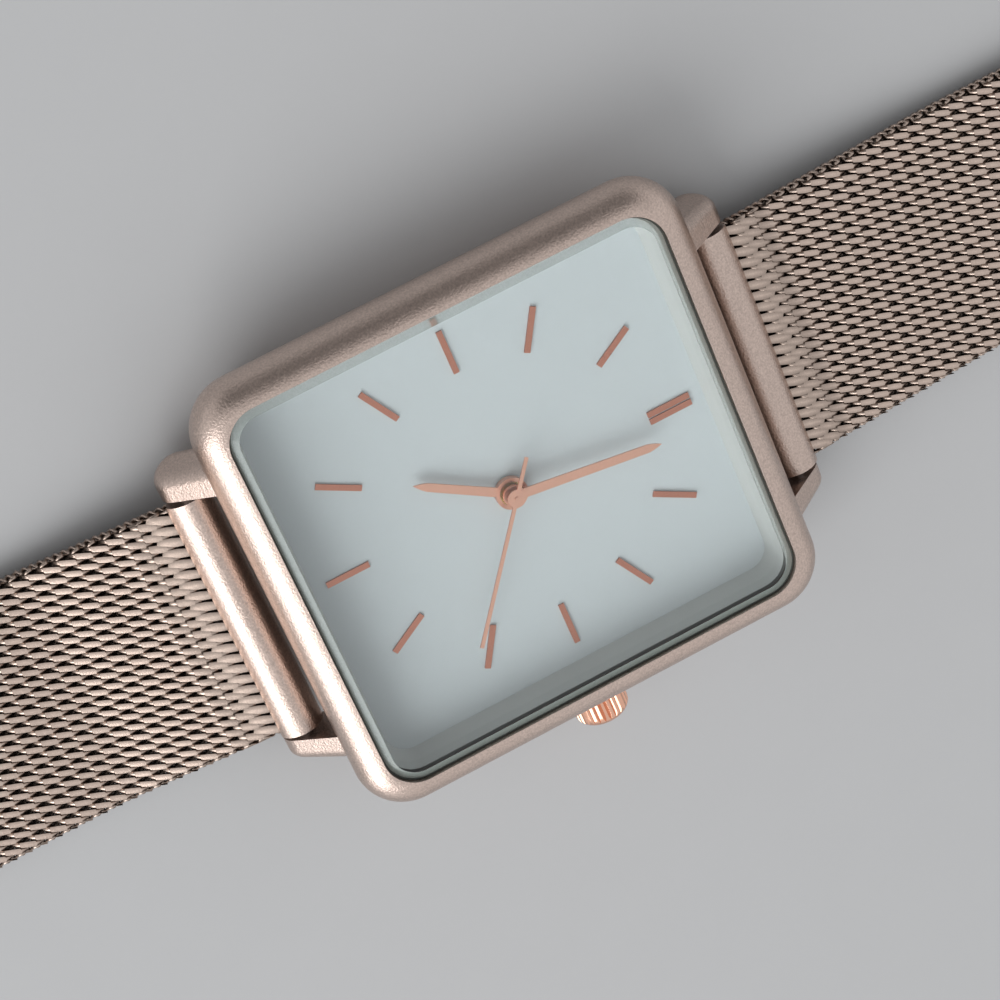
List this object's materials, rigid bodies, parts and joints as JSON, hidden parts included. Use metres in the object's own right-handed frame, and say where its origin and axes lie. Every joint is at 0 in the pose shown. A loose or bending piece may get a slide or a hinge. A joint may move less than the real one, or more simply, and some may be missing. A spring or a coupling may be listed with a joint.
{
  "type": "wristwatch",
  "caption": "Square quartz wristwatch with a rolled-edge case, bar markers, a fluted crown and a woven metal strap with a sliding fold-over clasp.",
  "frame": {"origin": "middle of the case back's outer face, on the table plane", "axes": "+X towards 3 o'clock and the crown, +Y towards 12 o'clock along the strap, +Z out of the dial"},
  "size_m": [0.0337, 0.2316, 0.008],
  "materials": {
    "satin_rose_steel": "bead-blasted rose-gold plating",
    "woven_rose_steel": "woven flattened wire, satin rose-gold plating",
    "polished_rose_gold": "polished rose-gold plating",
    "hand_rose_gold": "polished rose-gold plating",
    "marker_rose_gold": "polished rose-gold plating",
    "silvered_dial": "fine satin silver-white",
    "reflector_white": "matt silver-white",
    "crystal_glass": "clear, polished, slightly green at the edge",
    "black_rubber": "matt black",
    "nickel_plate": "nickel-plated brass",
    "train_brass": "gilt brass wheels on steel arbors",
    "plain_steel": "fine ground steel",
    "holder_plastic": "white moulded plastic",
    "board_green": "green lacquered board",
    "copper_wire": "fine lacquered copper wire",
    "soft_iron": "soft magnetic iron",
    "cell_steel": "plain nickel-plated can"
  },
  "bodies": {
    "case": {"case_body": "satin_rose_steel", "case_back": "satin_rose_steel", "back_gasket": "black_rubber", "crystal": "crystal_glass", "crystal_gasket": "black_rubber", "flange_ring": "reflector_white", "dial": "silvered_dial", "hour_markers": "marker_rose_gold", "crown_tube": "plain_steel", "movement_holder": "holder_plastic", "main_plate": "nickel_plate", "train_bridge": "nickel_plate", "circuit_board": "board_green", "quartz_can": "plain_steel", "coil_core": "soft_iron", "coil_winding": "copper_wire", "stator": "soft_iron", "battery": "cell_steel", "battery_clamp": "plain_steel", "bridge_screws": "plain_steel", "spring_bar_12": "plain_steel", "spring_bar_6": "plain_steel"},
    "seconds": {"fourth_wheel": "train_brass", "second_hand": "hand_rose_gold"},
    "fifth": {"fifth_wheel": "train_brass"},
    "rotor": {"rotor": "soft_iron"},
    "third": {"third_wheel": "train_brass"},
    "centre": {"centre_wheel": "train_brass"},
    "minutes": {"cannon_pinion": "train_brass", "minute_hand": "hand_rose_gold"},
    "minute_work": {"minute_wheel": "train_brass"},
    "hours": {"hour_wheel": "train_brass", "hour_hand": "hand_rose_gold"},
    "setting": {"setting_wheel": "train_brass"},
    "crown_slide": {"crown_gasket": "black_rubber"},
    "crown_knob": {"crown": "polished_rose_gold", "stem": "plain_steel"},
    "clutch": {"clutch_pinion": "plain_steel"},
    "lever": {"setting_lever": "plain_steel"},
    "root_12": {"strap_bar_12": "satin_rose_steel", "strap_12_root": "woven_rose_steel"},
    "middle_12": {"strap_12_middle": "woven_rose_steel"},
    "end_12": {"strap_12_end": "woven_rose_steel", "clasp_sleeve": "satin_rose_steel", "clasp_pin": "plain_steel"},
    "hook": {"clasp_hook": "satin_rose_steel"},
    "cover": {"clasp_cover": "satin_rose_steel"},
    "root_6": {"strap_bar_6": "satin_rose_steel", "strap_6_root": "woven_rose_steel"},
    "middle_6": {"strap_6_middle": "woven_rose_steel"},
    "rail_6": {"strap_6_rail": "woven_rose_steel"},
    "tail_6": {"strap_6_tail": "woven_rose_steel", "strap_tip": "satin_rose_steel"},
    "slider": {"slider_frame": "satin_rose_steel", "hook_bar": "plain_steel", "lock_pin": "plain_steel"},
    "flap": {"lock_flap": "satin_rose_steel"}
  },
  "joints": [
    {"name": "second_turn", "type": "hinge", "parent": "case", "child": "seconds", "pos_m": [0, 0, 0.0015], "axis": [0, 0, -1], "continuous": true},
    {"name": "fifth_turn", "type": "hinge", "parent": "case", "child": "fifth", "pos_m": [0.00217, -0.00125, 0.0015], "axis": [0, 0, -1], "continuous": true},
    {"name": "rotor_turn", "type": "hinge", "parent": "case", "child": "rotor", "pos_m": [0.00249, -0.00311, 0.0015], "axis": [0, 0, -1], "continuous": true},
    {"name": "third_turn", "type": "hinge", "parent": "case", "child": "third", "pos_m": [-0.00085, 0.00235, 0.0018], "axis": [0, 0, -1], "continuous": true},
    {"name": "centre_turn", "type": "hinge", "parent": "case", "child": "centre", "pos_m": [0, 0, 0.0025], "axis": [0, 0, -1], "continuous": true},
    {"name": "minute_turn", "type": "hinge", "parent": "case", "child": "minutes", "pos_m": [0, 0, 0.0035], "axis": [0, 0, -1], "continuous": true},
    {"name": "minute_wheel_turn", "type": "hinge", "parent": "case", "child": "minute_work", "pos_m": [0.00184, -0.00154, 0.0035], "axis": [0, 0, -1], "continuous": true},
    {"name": "hour_turn", "type": "hinge", "parent": "case", "child": "hours", "pos_m": [0, 0, 0.0037], "axis": [0, 0, -1], "continuous": true},
    {"name": "setting_turn", "type": "hinge", "parent": "case", "child": "setting", "pos_m": [0.00427, 0, 0.0035], "axis": [0, 0, -1], "continuous": true},
    {"name": "crown_pull", "type": "slide", "parent": "case", "child": "crown_slide", "axis": [1, 0, 0], "range_m": [0, 0.001]},
    {"name": "crown_turn", "type": "hinge", "parent": "crown_slide", "child": "crown_knob", "pos_m": [0.0151, 0, 0.003], "axis": [1, 0, 0], "continuous": true},
    {"name": "clutch_shift", "type": "slide", "parent": "crown_knob", "child": "clutch", "axis": [1, 0, 0], "range_m": [-0.0014, 0]},
    {"name": "lever_swing", "type": "hinge", "parent": "case", "child": "lever", "pos_m": [0.0078, 0.0024, 0.0035], "axis": [0, 0, 1], "range_deg": [0, 24.6]},
    {"name": "bar_12_swing", "type": "hinge", "parent": "case", "child": "root_12", "pos_m": [0, 0.01787, 0.00285], "axis": [-1, 0, 0], "range_deg": [-25, 60]},
    {"name": "fold_12_a", "type": "hinge", "parent": "root_12", "child": "middle_12", "pos_m": [0, 0.03499, 0.00115], "axis": [-1, 0, 0], "range_deg": [-10, 30]},
    {"name": "fold_12_b", "type": "hinge", "parent": "middle_12", "child": "end_12", "pos_m": [0, 0.05899, 0.00115], "axis": [-1, 0, 0], "range_deg": [-10, 20]},
    {"name": "hook_swing", "type": "hinge", "parent": "end_12", "child": "hook", "pos_m": [0, 0.08449, 0.00115], "axis": [-1, 0, 0], "range_deg": [0, 60]},
    {"name": "cover_swing", "type": "hinge", "parent": "end_12", "child": "cover", "pos_m": [0, 0.08449, 0.00115], "axis": [1, 0, 0], "range_deg": [0, 120]},
    {"name": "bar_6_swing", "type": "hinge", "parent": "case", "child": "root_6", "pos_m": [0, -0.01787, 0.00285], "axis": [1, 0, 0], "range_deg": [-25, 60]},
    {"name": "fold_6_a", "type": "hinge", "parent": "root_6", "child": "middle_6", "pos_m": [0, -0.02975, 0.00115], "axis": [1, 0, 0], "range_deg": [-10, 30]},
    {"name": "fold_6_b", "type": "hinge", "parent": "middle_6", "child": "rail_6", "pos_m": [0, -0.05375, 0.00115], "axis": [1, 0, 0], "range_deg": [-10, 20]},
    {"name": "fold_6_c", "type": "hinge", "parent": "rail_6", "child": "tail_6", "pos_m": [0, -0.11175, 0.00115], "axis": [1, 0, 0], "range_deg": [-10, 30]},
    {"name": "slider_travel", "type": "slide", "parent": "rail_6", "child": "slider", "axis": [0, 1, 0], "range_m": [-0.026, 0.012]},
    {"name": "flap_swing", "type": "hinge", "parent": "slider", "child": "flap", "pos_m": [0, -0.06855, 0.0025], "axis": [-1, 0, 0], "range_deg": [0, 100]}
  ],
  "couplings": [
    {"joint": "fifth_turn", "follows": "second_turn", "ratio": -5},
    {"joint": "rotor_turn", "follows": "second_turn", "ratio": 30},
    {"joint": "third_turn", "follows": "second_turn", "ratio": -0.13333},
    {"joint": "centre_turn", "follows": "second_turn", "ratio": 0.016667},
    {"joint": "minute_wheel_turn", "follows": "minute_turn", "ratio": -0.33333},
    {"joint": "hour_turn", "follows": "minute_turn", "ratio": 0.083333},
    {"joint": "setting_turn", "follows": "minute_turn", "ratio": 0.55556},
    {"joint": "clutch_shift", "follows": "crown_pull", "ratio": -1.4},
    {"joint": "lever_swing", "follows": "crown_pull", "rad_per_m": 410.79}
  ]
}
